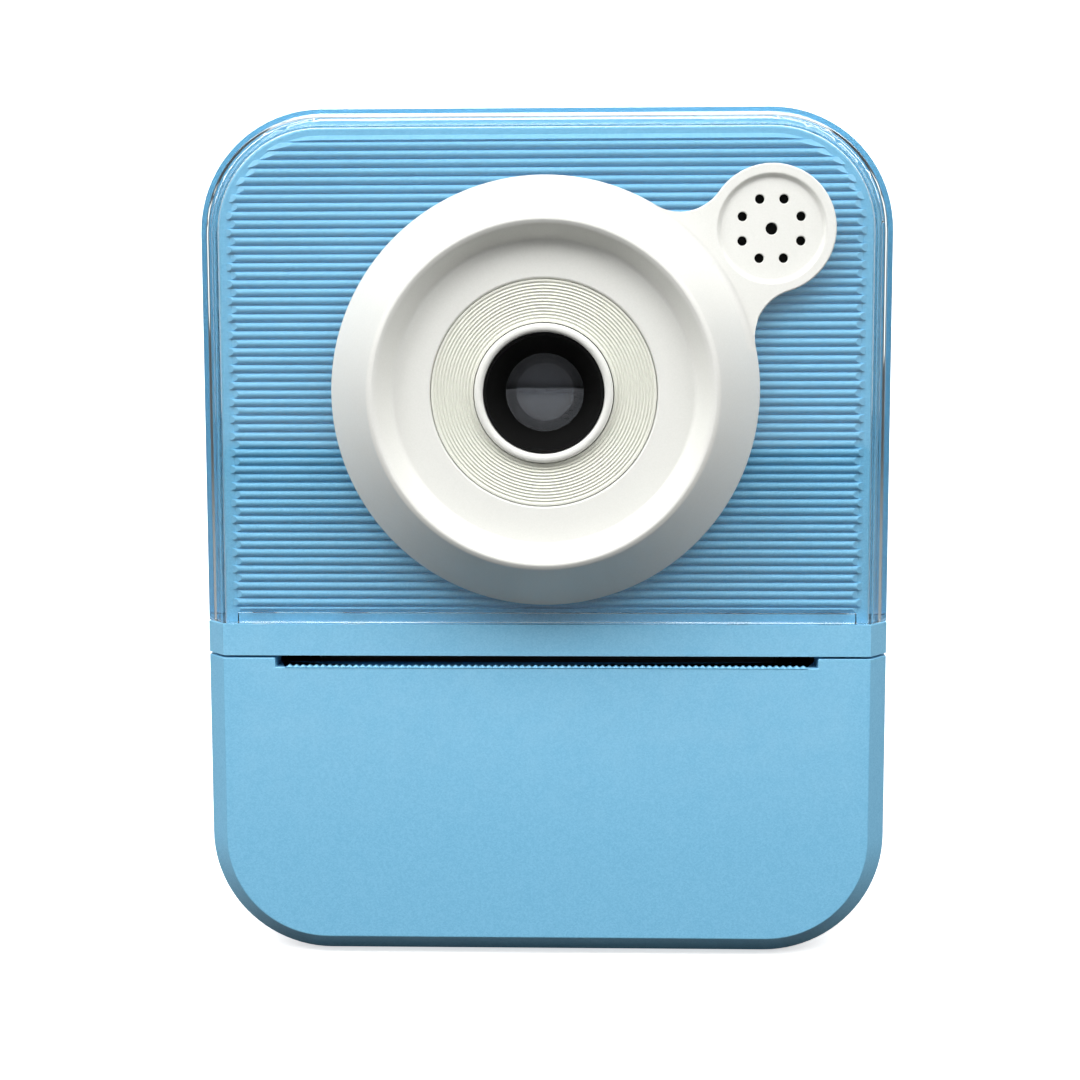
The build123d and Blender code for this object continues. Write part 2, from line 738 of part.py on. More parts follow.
with BuildPart() as reduction_gear:
    extrude(
        gear_outline(reduction_small_teeth, gear_layer_x, reduction_y, reduction_z, small_turn),
        amount=big_layer_x - gear_layer_x,
    )
    extrude(gear_outline(reduction_big_teeth, big_layer_x, reduction_y, reduction_z, 90), amount=big_width)
    with BuildSketch(Plane.YZ.offset(gear_layer_x)):
        with Locations((reduction_y, reduction_z)):
            Circle(gear_post_radius + running_clearance)
    extrude(amount=5, mode=Mode.SUBTRACT)
save(reduction_gear, "reduction_gear")

with BuildPart() as motor_pinion:
    extrude(gear_outline(pinion_teeth, big_layer_x, motor_y, motor_z, pinion_turn), amount=big_width)
    bar(frame_outer_x + 0.4, big_layer_x, motor_y, motor_z, 1.6)
    with BuildSketch(Plane.YZ.offset(frame_outer_x)):
        with Locations((motor_y, motor_z)):
            Circle(motor_shaft_radius)
    extrude(amount=6, mode=Mode.SUBTRACT)
save(motor_pinion, "motor_pinion")

with BuildPart() as gear_posts:
    bar(frame_outer_x - 1.6, gear_layer_x + gear_width + 0.1, drive_y, drive_z, gear_post_radius)
    bar(frame_outer_x - 1.6, big_layer_x + big_width + 0.3, reduction_y, reduction_z, gear_post_radius)
save(gear_posts, "gear_posts")

motor_shaft_x = 25.0
with BuildPart() as stepper_motor:
    bar(motor_inner_x, motor_shaft_x, motor_y, motor_z, motor_radius)
    bar(motor_shaft_x, frame_inner_x - 0.2, motor_y, motor_z, motor_radius, motor_shaft_radius + running_clearance)
save(stepper_motor, "stepper_motor")

with BuildPart() as motor_shaft:
    bar(motor_shaft_x + 0.2, big_layer_x + big_width + 0.2, motor_y, motor_z, motor_shaft_radius)
save(motor_shaft, "motor_shaft")

contact = Plane(
    origin=(0, platen_y + platen_radius * nip_y, platen_z + platen_radius * nip_z),
    x_dir=(1, 0, 0),
    z_dir=(0, -nip_y, -nip_z),
)
head_back = paper_gap + head_thickness
sink_back = head_back + sink_thickness
bar_front = sink_back + spring_length

with BuildPart() as print_head:
    with BuildSketch(contact.offset(-paper_gap)) as strip_sketch:
        Rectangle(2 * platen_half_length, head_height)
    extrude(amount=-head_thickness)
save(print_head, "print_head")

with BuildPart() as heat_sink:
    with BuildSketch(contact.offset(-head_back)) as sink_sketch:
        Rectangle(2 * platen_half_length + 1, head_height + 1)
    extrude(amount=-sink_thickness + 0.8)
    with BuildSketch(contact.offset(-head_back - 1.0)) as fins:
        with GridLocations(0, 2.1, 1, 5):
            Rectangle(2 * platen_half_length + 1, 0.7)
    extrude(amount=-sink_thickness + 1.0)
save(heat_sink, "heat_sink")

spring_x = 18.0
with BuildPart() as head_springs:
    for side in (-1, 1):
        seat = contact.from_local_coords(Vector(side * spring_x, 0, -sink_back - 0.3))
        with BuildLine() as coil:
            Helix(pitch=0.6, height=spring_length - 0.6, radius=1.5, center=seat, direction=(0, nip_y, nip_z))
        with BuildSketch(Plane(coil.line @ 0, z_dir=coil.line % 0)) as wire:
            Circle(0.22)
        sweep(sections=wire.sketch, path=coil.line, is_frenet=True)
save(head_springs, "head_springs")

with BuildPart() as printer_frame:
    # Side plates with open notches for the platen bushes
    for side in (-1, 1):
        rear_edge = 16.4 if side > 0 else 14.6
        top_edge = motor_z + 4.6 if side > 0 else 38.0
        with BuildSketch(Plane.YZ.offset(side * frame_inner_x)):
            with BuildLine():
                Polyline(
                    (platen_y - 0.6, platen_z - 4.5),
                    (platen_y - 0.6, platen_z + 4.9),
                    (-3.0, 37.6),
                    (1.5, top_edge),
                    (rear_edge, top_edge),
                    (rear_edge, 12.0),
                    (12.0, 10.6),
                    (-3.0, 17.0),
                    close=True,
                )
            make_face()
            with Locations((platen_y, platen_z)):
                Circle(2.8, mode=Mode.SUBTRACT)
            with Locations((platen_y - 3.0 * nip_y, platen_z - 3.0 * nip_z)):
                Rectangle(6.0, 5.6, rotation=nip_turn, mode=Mode.SUBTRACT)
            if side > 0:
                with Locations((drive_y, drive_z), (reduction_y, reduction_z)):
                    Circle(gear_post_radius, mode=Mode.SUBTRACT)
                with Locations((motor_y, motor_z)):
                    Circle(1.2, mode=Mode.SUBTRACT)
        extrude(amount=frame_outer_x - frame_inner_x, dir=(side, 0, 0))
    # Cross bar behind the print head
    with BuildSketch(contact.offset(-bar_front)) as cross_bar:
        Rectangle(2 * frame_inner_x, head_height + 1)
    extrude(amount=-1.6)
    # Tray under the paper roll, wider behind the hinge arms
    for start, sweep_angle, half_width in ((-105, 56, 29.3), (-50, 62, frame_inner_x)):
        with BuildSketch(Plane.YZ):
            with BuildLine():
                outer = CenterArc((roll_y, roll_z), roll_radius + tray_gap + tray_thickness, start, sweep_angle)
                inner = CenterArc((roll_y, roll_z), roll_radius + tray_gap, start, sweep_angle)
                Line(outer @ 0, inner @ 0)
                Line(outer @ 1, inner @ 1)
            make_face()
        extrude(amount=half_width, both=True)
save(printer_frame, "printer_frame")

with BuildPart() as paper_roll:
    bar(-platen_half_length, platen_half_length, roll_y, roll_z, roll_radius, core_radius)
save(paper_roll, "paper_roll")

with BuildPart() as roll_core:
    bar(-platen_half_length, platen_half_length, roll_y, roll_z, core_radius, core_radius - 0.9)
save(roll_core, "roll_core")

# Screen and electronics ------------------------------------------------------------------------------------

with BuildPart() as screen_window:
    with BuildSketch(facing(back_y)) as pane:
        with Locations((0, window_z)):
            RectangleRounded(window_width, window_height, 4)
    extrude(amount=window_thickness)
save(screen_window, "screen_window")

with BuildPart() as display_panel:
    with BuildSketch(facing(back_y - wall - 0.2)) as panel:
        with Locations((0, window_z)):
            RectangleRounded(screen_width, screen_height, 1)
    extrude(amount=2.4)
save(display_panel, "display_panel")

with BuildPart() as main_board:
    with Locations((0, 14.0, 74.0)):
        Box(58.0, board_thickness, 36.0)
save(main_board, "main_board")

with BuildPart() as board_chips:
    with Locations((-6, 15.4, 76)):
        Box(12, 1.6, 12)
    with Locations((10, 15.2, 80)):
        Box(8, 1.2, 6)
    with Locations((10, 15.2, 68)):
        Box(6, 1.2, 5)
    with Locations((-22, 15.4, 64)):
        Box(5, 1.6, 5)
    with Locations((22, 15.4, 86)):
        Box(9, 1.6, 4)
save(board_chips, "board_chips")

with BuildPart() as battery:
    with BuildSketch(facing(12.6)) as pouch:
        with Locations((0, 74.0)):
            RectangleRounded(50, 34, 2)
    extrude(amount=6.0)
    fillet(battery.edges().filter_by(GeomType.LINE).filter_by(Axis.Y, reverse=True), radius=1.2)
save(battery, "battery")

with BuildPart() as key_board:
    with BuildSketch(facing(key_board_y)) as board_sketch:
        with Locations((0, 30.5)):
            Rectangle(69.0, 33.0)
    extrude(amount=board_thickness)
save(key_board, "key_board")

with BuildPart() as top_board:
    with Locations(((shutter_x + power_x) / 2, top_key_y, 94.6)):
        Box(36.0, 10.0, board_thickness)
save(top_board, "top_board")

pad_switch_radius = (pad_radius + pad_inner_radius) / 2
pad_angles = {"right": 0, "up": 90, "left": 180, "down": 270}
with BuildPart() as tact_switches:
    places = [(0, pad_z), (-side_key_x, pad_z), (side_key_x, pad_z)]
    for angle in pad_angles.values():
        x = pad_switch_radius * math.cos(math.radians(angle))
        z = pad_z + pad_switch_radius * math.sin(math.radians(angle))
        places.append((x, z))
    for x, z in places:
        with Locations((x, key_board_y + switch_height / 2, z)):
            Box(4.0, switch_height, 4.0)
    for x in (shutter_x, power_x):
        with Locations((x, top_key_y, 95.2 + switch_height / 2)):
            Box(4.0, 4.0, switch_height)
save(tact_switches, "tact_switches")

with BuildPart() as usb_socket:
    with BuildSketch(Plane.YZ.offset(-body_width / 2 + 0.7)):
        with Locations((port_y, usb_z)):
            SlotOverall(9.0, 3.2, rotation=90)
    extrude(amount=7.0)
    with BuildSketch(Plane.YZ.offset(-body_width / 2 + 0.7)):
        with Locations((port_y, usb_z)):
            SlotOverall(8.4, 2.6, rotation=90)
    extrude(amount=6.2, mode=Mode.SUBTRACT)
    with Locations((-body_width / 2 + 4.6, port_y, usb_z)):
        Box(5.4, 0.7, 6.6)
save(usb_socket, "usb_socket")

with BuildPart() as card_socket:
    with Locations((-32.0, 16.0, card_z)):
        Box(14.0, 1.9, 14.0)
    with Locations((-33.2, 16.0, card_z)):
        Box(14.0, 1.0, 11.4, mode=Mode.SUBTRACT)
save(card_socket, "card_socket")

with BuildPart() as strap_pin:
    with Locations((body_width / 2 - 1.6, 13.0, 70.0)):
        Cylinder(0.8, 12.0)
save(strap_pin, "strap_pin")

# Screws ----------------------------------------------------------------------------------------------------


def pan_screw(x, z, seat_y, head_radius, head_height_mm, shank_radius, length):
    """Cross-recessed screw whose head points to the back, added to the piece being made."""
    with BuildSketch(facing(seat_y + head_height_mm)) as head:
        with Locations((x, z)):
            Circle(head_radius)
    extrude(head.sketch, amount=head_height_mm)
    with BuildSketch(facing(seat_y)) as shank:
        with Locations((x, z)):
            Circle(shank_radius)
    extrude(shank.sketch, amount=length)
    with BuildSketch(facing(seat_y + head_height_mm)) as cross:
        with Locations((x, z)):
            Rectangle(head_radius * 1.2, head_radius * 0.26)
            Rectangle(head_radius * 0.26, head_radius * 1.2)
    extrude(cross.sketch, amount=head_height_mm * 0.55, mode=Mode.SUBTRACT)


with BuildPart() as housing_screws:
    for x, z in screw_places:
        pan_screw(x, z, screw_seat_y + 0.02, 2.1, 1.5, 1.0, 15.0)
save(housing_screws, "housing_screws")

with BuildPart() as bezel_screws:
    for angle in bezel_screw_angles:
        x = bezel_screw_circle * math.cos(math.radians(angle))
        z = lens_z + bezel_screw_circle * math.sin(math.radians(angle))
        pan_screw(x, z, rib_plane_y + panel_thickness + 0.02, 1.8, 1.2, 0.78, 6.5)
save(bezel_screws, "bezel_screws")

# Keys ------------------------------------------------------------------------------------------------------

key_face_y = back_y + key_proud
lip_back_y = back_y - wall - seam
lip_thickness = 0.9
key_tip_y = key_board_y + switch_height + key_travel + 0.1


def round_key(x, z, radius, lip_radius):
    """Round key in the back wall, with a lip inside it and a stem over its switch."""
    with BuildSketch(facing(key_face_y)) as cap:
        with Locations((x, z)):
            Circle(radius)
    extrude(cap.sketch, amount=key_face_y - lip_back_y + lip_thickness)
    with BuildSketch(facing(lip_back_y)) as lip:
        with Locations((x, z)):
            Circle(lip_radius)
    extrude(lip.sketch, amount=lip_thickness)
    with BuildSketch(facing(lip_back_y)) as stem:
        with Locations((x, z)):
            Circle(1.4)
    extrude(stem.sketch, amount=lip_back_y - key_tip_y)


with BuildPart() as ok_key:
    round_key(0, pad_z, ok_radius, ok_radius)
    fillet(ok_key.edges().group_by(Axis.Y)[-1], radius=0.4)
save(ok_key, "ok_key")

with BuildPart() as menu_key:
    round_key(side_key_x, pad_z, side_key_radius, side_key_radius + 1.0)
    fillet(menu_key.edges().group_by(Axis.Y)[-1], radius=0.4)
save(menu_key, "menu_key")

with BuildPart() as print_key:
    round_key(-side_key_x, pad_z, side_key_radius, side_key_radius + 1.0)
    fillet(print_key.edges().group_by(Axis.Y)[-1], radius=0.4)
save(print_key, "print_key")


def pad_sector(y, inner, outer, turn):
    """Quarter of the ring about the OK key, less the clearance between neighbours."""
    with BuildSketch(facing(y)) as sketch:
        with Locations((0, pad_z)):
            Circle(outer)
            Circle(inner, mode=Mode.SUBTRACT)
        reach = outer + 1
        corners = [(0, pad_z)]
        for angle in (turn - 45, turn, turn + 45):
            spread = reach if angle == turn else reach * math.sqrt(2)
            corners.append((
                spread * math.cos(math.radians(angle)),
                pad_z + spread * math.sin(math.radians(angle)),
            ))
        with BuildLine():
            Polyline(*corners, close=True)
        make_face(mode=Mode.INTERSECT)
        with Locations((0, pad_z)):
            Rectangle(2.2 * outer, 0.7, rotation=turn - 45, mode=Mode.SUBTRACT)
            Rectangle(2.2 * outer, 0.7, rotation=turn + 45, mode=Mode.SUBTRACT)
    return sketch.sketch


for name, angle in pad_angles.items():
    with BuildPart() as arrow_key:
        extrude(
            pad_sector(key_face_y, pad_inner_radius, pad_radius, angle),
            amount=key_face_y - lip_back_y + lip_thickness,
        )
        fillet(arrow_key.edges().group_by(Axis.Y)[-1], radius=0.35)
        extrude(pad_sector(lip_back_y, pad_inner_radius, pad_radius + 1.2, angle), amount=lip_thickness)
        with BuildSketch(facing(lip_back_y)):
            with Locations((
                pad_switch_radius * math.cos(math.radians(angle)),
                pad_z + pad_switch_radius * math.sin(math.radians(angle)),
            )):
                Circle(1.4)
        extrude(amount=lip_back_y - key_tip_y)
    save(arrow_key, f"arrow_key_{name}")


def top_key(x, radius, proud):
    """Round key in the top wall, with a lip below it and a stem over its switch."""
    lip_top = body_height - wall - seam
    with BuildSketch(Plane.XY.offset(body_height + proud)) as cap:
        with Locations((x, top_key_y)):
            Circle(radius)
    extrude(cap.sketch, amount=-(proud + wall + seam + lip_thickness))
    with BuildSketch(Plane.XY.offset(lip_top)) as lip:
        with Locations((x, top_key_y)):
            Circle(radius + 0.9)
    extrude(lip.sketch, amount=-lip_thickness)
    with BuildSketch(Plane.XY.offset(lip_top)) as stem:
        with Locations((x, top_key_y)):
            Circle(1.4)
    extrude(stem.sketch, amount=-(lip_top - 95.2 - switch_height - key_travel - 0.1))


with BuildPart() as shutter_key:
    top_key(shutter_x, shutter_radius, shutter_proud)
    fillet(shutter_key.edges().group_by(Axis.Z)[-1], radius=0.8)
save(shutter_key, "shutter_key")

with BuildPart() as power_key:
    top_key(power_x, power_radius, power_proud)
    fillet(power_key.edges().group_by(Axis.Z)[-1], radius=0.4)
save(power_key, "power_key")
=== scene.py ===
"""Looks for a child's instant-print camera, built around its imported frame.

Metres throughout. The front faces -Y, +X is to the right seen from the front, +Z is up.
"""

import json
import math

import bmesh
import bpy
from mathutils import Matrix, Vector


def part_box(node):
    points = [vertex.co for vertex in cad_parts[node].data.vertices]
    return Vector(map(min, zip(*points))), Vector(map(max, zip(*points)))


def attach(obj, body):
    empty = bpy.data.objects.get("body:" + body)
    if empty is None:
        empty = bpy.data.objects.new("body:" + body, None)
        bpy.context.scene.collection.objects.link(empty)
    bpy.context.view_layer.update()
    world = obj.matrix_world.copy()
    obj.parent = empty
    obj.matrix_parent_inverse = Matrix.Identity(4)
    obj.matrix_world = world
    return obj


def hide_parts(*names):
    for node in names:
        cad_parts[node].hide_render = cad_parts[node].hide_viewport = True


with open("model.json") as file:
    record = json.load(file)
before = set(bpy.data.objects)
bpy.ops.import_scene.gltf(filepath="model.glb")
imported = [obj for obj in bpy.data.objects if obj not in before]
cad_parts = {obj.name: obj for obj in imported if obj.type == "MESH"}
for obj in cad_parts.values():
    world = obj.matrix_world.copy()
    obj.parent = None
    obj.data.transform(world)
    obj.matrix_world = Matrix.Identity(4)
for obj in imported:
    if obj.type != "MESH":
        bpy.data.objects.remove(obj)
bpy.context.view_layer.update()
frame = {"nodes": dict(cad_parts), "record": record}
nodes = frame["nodes"]
slots = {part["node"]: part["material_slot"] for part in frame["record"]["subparts"]}
body_of = {
    member: body for body, members in frame["record"]["behaviour"]["bodies"].items() for member in members
}
mm = 0.001


# ---------------------------------------------------------------- shader helpers

def new_group(name, inputs, outputs):
    """An empty shader group; inputs and outputs are (name, kind, default)."""
    tree = bpy.data.node_groups.new(name, "ShaderNodeTree")
    kinds = {"value": "NodeSocketFloat", "colour": "NodeSocketColor", "vector": "NodeSocketVector"}
    for label, kind, default in inputs:
        socket = tree.interface.new_socket(label, in_out="INPUT", socket_type=kinds[kind])
        socket.default_value = default
    for label, kind in outputs:
        tree.interface.new_socket(label, in_out="OUTPUT", socket_type=kinds[kind])
    return tree, tree.nodes.new("NodeGroupInput"), tree.nodes.new("NodeGroupOutput")


def maths(tree, operation, first, second=None, third=None, clamp=False):
    """A Math node; each operand is a number or a socket."""
    node = tree.nodes.new("ShaderNodeMath")
    node.operation = operation
    node.use_clamp = clamp
    for slot, operand in zip(node.inputs, (first, second, third)):
        if operand is None:
            continue
        if isinstance(operand, (int, float)):
            slot.default_value = operand
        else:
            tree.links.new(operand, slot)
    return node.outputs[0]


def noise(tree, place, scale, detail=2.0, rough=0.5):
    node = tree.nodes.new("ShaderNodeTexNoise")
    node.inputs["Detail"].default_value = detail
    node.inputs["Roughness"].default_value = rough
    tree.links.new(place, node.inputs["Vector"])
    if isinstance(scale, (int, float)):
        node.inputs["Scale"].default_value = scale
    else:
        tree.links.new(scale, node.inputs["Scale"])
    return node.outputs[0]


def object_place(tree):
    return tree.nodes.new("ShaderNodeTexCoord").outputs["Object"]


def place_group(tree, group, **values):
    node = tree.nodes.new("ShaderNodeGroup")
    node.node_tree = group
    for label, value in values.items():
        node.inputs[label.replace("_", " ")].default_value = value
    return node


def blend_colour(tree, factor, first, second):
    node = tree.nodes.new("ShaderNodeMix")
    node.data_type = "RGBA"
    tree.links.new(factor, node.inputs["Factor"])
    for label, colour in (("A", first), ("B", second)):
        if isinstance(colour, tuple):
            node.inputs[label].default_value = (*colour, 1.0)
        else:
            tree.links.new(colour, node.inputs[label])
    return node.outputs["Result"]


def add_bump(tree, shader, height, depth, strength=1.0):
    bump = tree.nodes.new("ShaderNodeBump")
    bump.inputs["Distance"].default_value = depth
    bump.inputs["Strength"].default_value = strength
    tree.links.new(height, bump.inputs["Height"])
    tree.links.new(bump.outputs["Normal"], shader.inputs["Normal"])


# ---------------------------------------------------------------- camera, floor and lights

def add_object(name, data):
    made = bpy.data.objects.new(name, data)
    bpy.context.scene.collection.objects.link(made)
    return made


def aim_camera():
    """A 60 mm lens close in front, a little above the lens axis and looking slightly down."""
    place = Vector((5.71, -228.59, 73.15)) * mm
    tilt, yaw, roll = 0.10304, -0.02982, -0.00238
    forward = Vector((math.sin(yaw) * math.cos(tilt), math.cos(yaw) * math.cos(tilt), -math.sin(tilt)))
    level = Vector((math.cos(yaw), -math.sin(yaw), 0.0))
    upright = level.cross(forward)
    right = level * math.cos(roll) + upright * math.sin(roll)
    up = upright * math.cos(roll) - level * math.sin(roll)
    data = bpy.data.cameras.new("camera")
    data.sensor_width = 36.0
    data.lens = 59.8957
    data.clip_start = 0.01
    data.clip_end = 20.0
    camera = add_object("camera", data)
    basis = Matrix((right, up, -forward)).transposed().to_4x4()
    basis.translation = place
    camera.matrix_world = basis
    bpy.context.scene.camera = camera


def floor_finish():
    """White to the eye, dim to reflections and dark to soft light, so that undersides stay dark."""
    finish = bpy.data.materials.new("pale_floor")
    finish.use_nodes = True
    tree = finish.node_tree
    shader = tree.nodes["Principled BSDF"]
    shader.inputs["Roughness"].default_value = 0.9
    shader.inputs["Specular IOR Level"].default_value = 0.0
    shader.inputs["Emission Color"].default_value = (1, 1, 1, 1)
    rays = tree.nodes.new("ShaderNodeLightPath").outputs
    dimmed = maths(tree, "MULTIPLY_ADD", rays["Is Glossy Ray"], 0.75, rays["Is Diffuse Ray"])
    tone = blend_colour(tree, dimmed, (0.92, 0.92, 0.92), (0.06, 0.06, 0.06))
    tree.links.new(tone, shader.inputs["Base Color"])
    glow = maths(tree, "MULTIPLY_ADD", dimmed, -0.82, 0.62, clamp=True)
    # Far from the object the sheet glows more, so that its lit part and its far part are one white
    reach = tree.nodes.new("ShaderNodeVectorMath")
    reach.operation = "LENGTH"
    tree.links.new(object_place(tree), reach.inputs[0])
    lift = tree.nodes.new("ShaderNodeMapRange")
    for label, value in (("From Min", 0.25), ("From Max", 0.9), ("To Min", 1.0), ("To Max", 2.0)):
        lift.inputs[label].default_value = value
    tree.links.new(reach.outputs["Value"], lift.inputs["Value"])
    glow = maths(tree, "MULTIPLY", glow, lift.outputs["Result"])
    tree.links.new(glow, shader.inputs["Emission Strength"])
    return finish


def lay_floor():
    """A pale sheet that sweeps up behind, so the object stands on plain white."""
    front_edge, flat_end, sweep, steps = -1.2, 0.5, 0.5, 16
    half_width, wall_top = 2.2, 2.2
    profile = [(front_edge, 0.0), (flat_end, 0.0)]
    for step in range(1, steps + 1):
        angle = math.pi / 2 * step / steps
        profile.append((flat_end + sweep * math.sin(angle), sweep * (1 - math.cos(angle))))
    profile.append((flat_end + sweep, wall_top))
    form = bmesh.new()
    rails = [[form.verts.new((side, y, z)) for y, z in profile] for side in (-half_width, half_width)]
    for index in range(len(profile) - 1):
        form.faces.new((rails[0][index], rails[1][index], rails[1][index + 1], rails[0][index + 1]))
    for face in form.faces:
        face.smooth = True
    mesh = bpy.data.meshes.new("floor")
    form.to_mesh(mesh)
    form.free()
    mesh.materials.append(floor_finish())
    add_object("floor", mesh)


def soft_light(name, place, target, width, height, power):
    data = bpy.data.lights.new(name, "AREA")
    data.shape = "RECTANGLE"
    data.size = width
    data.size_y = height
    data.energy = power
    lamp = add_object(name, data)
    lamp.location = place
    lamp.rotation_mode = "QUATERNION"
    lamp.rotation_quaternion = (Vector(target) - Vector(place)).to_track_quat("-Z", "Y")


def light_room():
    """Wide soft lamps from above, and a backdrop that is bright to look at but faint as a lamp."""
    world = bpy.data.worlds.new("studio")
    bpy.context.scene.world = world
    world.use_nodes = True
    tree = world.node_tree
    sky = tree.nodes["Background"]
    sky.inputs["Color"].default_value = (1, 1, 1, 1)
    rays = tree.nodes.new("ShaderNodeLightPath").outputs
    looked_at = maths(tree, "MAXIMUM", rays["Is Camera Ray"], rays["Is Transmission Ray"])
    tree.links.new(maths(tree, "MULTIPLY_ADD", looked_at, 1.3, 0.10), sky.inputs["Strength"])
    aim = (0, 0, 0.06)
    soft_light("key", (-0.05, -0.40, 0.62), aim, 0.90, 0.36, 5.6)
    soft_light("left", (-0.56, -0.34, 0.50), aim, 0.45, 0.45, 3.4)
    soft_light("right", (0.56, -0.34, 0.50), aim, 0.45, 0.45, 3.0)
    soft_light("back", (0.0, 0.70, 0.55), (0, 0, 0.05), 0.9, 0.5, 5.0)
    bpy.context.scene.view_settings.view_transform = "Standard"
    bpy.context.scene.view_settings.look = "None"


# ---------------------------------------------------------------- shared effects

def make_grain():
    """Spark-eroded mould texture: fine pits for the bump and a sparse bright speckle."""
    tree, given, out = new_group(
        "mould_grain",
        [("Per Metre", "value", 7000.0), ("Speckle", "value", 0.5)],
        [("Height", "value"), ("Speckle", "value")],
    )
    place = object_place(tree)
    pits = noise(tree, place, given.outputs["Per Metre"], 3.0, 0.6)
    coarse = maths(tree, "MULTIPLY", given.outputs["Per Metre"], 0.31)
    swell = noise(tree, place, coarse, 1.0)
    height = maths(tree, "ADD", maths(tree, "MULTIPLY", pits, 0.75), maths(tree, "MULTIPLY", swell, 0.25))
    tree.links.new(height, out.inputs["Height"])
    cells = tree.nodes.new("ShaderNodeTexVoronoi")
    tree.links.new(place, cells.inputs["Vector"])
    tree.links.new(given.outputs["Per Metre"], cells.inputs["Scale"])
    tint = tree.nodes.new("ShaderNodeSeparateColor")
    tree.links.new(cells.outputs["Color"], tint.inputs["Color"])
    spread = maths(tree, "SUBTRACT", tint.outputs[0], 0.5)
    speckle = maths(tree, "MULTIPLY", spread, given.outputs["Speckle"])
    tree.links.new(maths(tree, "ADD", speckle, 0.5), out.inputs["Speckle"])
    return tree


def make_handling():
    """Broad uneven sheen from handling, and a few faint rubbed streaks."""
    tree, given, out = new_group(
        "handling",
        [("Amount", "value", 0.1), ("Base", "value", 0.4)],
        [("Roughness", "value"), ("Mask", "value")],
    )
    place = object_place(tree)
    broad = noise(tree, place, 38.0, 3.0, 0.55)
    stretch = tree.nodes.new("ShaderNodeMapping")
    stretch.inputs["Scale"].default_value = (1.0, 1.0, 7.0)
    stretch.inputs["Rotation"].default_value = (0.2, 0.5, 0.7)
    tree.links.new(place, stretch.inputs["Vector"])
    streak = noise(tree, stretch.outputs[0], 260.0, 4.0, 0.65)
    rubbed = maths(tree, "MULTIPLY", maths(tree, "SUBTRACT", streak, 0.62, clamp=True), 4.0, clamp=True)
    mask = maths(tree, "ADD", maths(tree, "MULTIPLY", broad, 0.8), maths(tree, "MULTIPLY", rubbed, 0.2))
    change = maths(tree, "MULTIPLY", maths(tree, "SUBTRACT", mask, 0.45), given.outputs["Amount"])
    tree.links.new(maths(tree, "ADD", given.outputs["Base"], change, clamp=True), out.inputs["Roughness"])
    tree.links.new(mask, out.inputs["Mask"])
    return tree


def make_wear():
    """A mask on outer edges, broken up so that the wear comes and goes."""
    tree, given, out = new_group("edge_wear", [("Amount", "value", 0.5)], [("Mask", "value")])
    bend = tree.nodes.new("ShaderNodeNewGeometry").outputs["Pointiness"]
    edge = tree.nodes.new("ShaderNodeMapRange")
    edge.inputs["From Min"].default_value = 0.515
    edge.inputs["From Max"].default_value = 0.60
    tree.links.new(bend, edge.inputs["Value"])
    broken = noise(tree, object_place(tree), 300.0, 3.0, 0.6)
    kept = maths(tree, "MULTIPLY", edge.outputs[0], broken)
    tree.links.new(maths(tree, "MULTIPLY", kept, given.outputs["Amount"], clamp=True), out.inputs["Mask"])
    return tree


grain_group = make_grain()
handling_group = make_handling()
wear_group = make_wear()


# ---------------------------------------------------------------- finishes

def moulding(name, low, high, rough, per_metre=7000.0, speckle=0.5, depth=6e-6, wear=0.35,
             worn=None, change=0.12, **sockets):
    """A moulded plastic, rubber, paper or cast finish: grain, speckled colour, handling and edge wear."""
    material = bpy.data.materials.new(name)
    material.use_nodes = True
    tree = material.node_tree
    shader = tree.nodes["Principled BSDF"]
    grain = place_group(tree, grain_group, Per_Metre=per_metre, Speckle=speckle)
    colour = blend_colour(tree, grain.outputs["Speckle"], low, high)
    edge = place_group(tree, wear_group, Amount=wear)
    colour = blend_colour(tree, edge.outputs["Mask"], colour, worn or high)
    tree.links.new(colour, shader.inputs["Base Color"])
    hands = place_group(tree, handling_group, Amount=change, Base=rough)
    tree.links.new(hands.outputs["Roughness"], shader.inputs["Roughness"])
    add_bump(tree, shader, grain.outputs["Height"], depth)
    for label, value in sockets.items():
        shader.inputs[label.replace("_", " ")].default_value = value
    return material


def clear(name, tint, rough, ior, per_metre=140.0, depth=4e-6, change=0.03, strength=0.03,
          **sockets):
    """A see-through moulding or lens, with faint flow marks in its surface."""
    material = bpy.data.materials.new(name)
    material.use_nodes = True
    tree = material.node_tree
    shader = tree.nodes["Principled BSDF"]
    shader.inputs["Base Color"].default_value = (*tint, 1)
    shader.inputs["Transmission Weight"].default_value = 1.0
    shader.inputs["IOR"].default_value = ior
    for label, value in sockets.items():
        shader.inputs[label.replace("_", " ")].default_value = value
    hands = place_group(tree, handling_group, Amount=change, Base=rough)
    tree.links.new(hands.outputs["Roughness"], shader.inputs["Roughness"])
    flow = place_group(tree, grain_group, Per_Metre=per_metre, Speckle=0.0)
    add_bump(tree, shader, flow.outputs["Height"], depth, strength)
    # Lamps shine through the clear wall instead of leaving what is behind it in the dark
    path = tree.nodes.new("ShaderNodeLightPath")
    let_by = maths(tree, "MAXIMUM", path.outputs["Is Shadow Ray"], path.outputs["Is Diffuse Ray"])
    plain = tree.nodes.new("ShaderNodeBsdfTransparent")
    plain.inputs["Color"].default_value = (*(0.88 * part for part in tint), 1)
    either = tree.nodes.new("ShaderNodeMixShader")
    tree.links.new(let_by, either.inputs["Fac"])
    tree.links.new(shader.outputs["BSDF"], either.inputs[1])
    tree.links.new(plain.outputs["BSDF"], either.inputs[2])
    tree.links.new(either.outputs["Shader"], tree.nodes["Material Output"].inputs["Surface"])
    return material


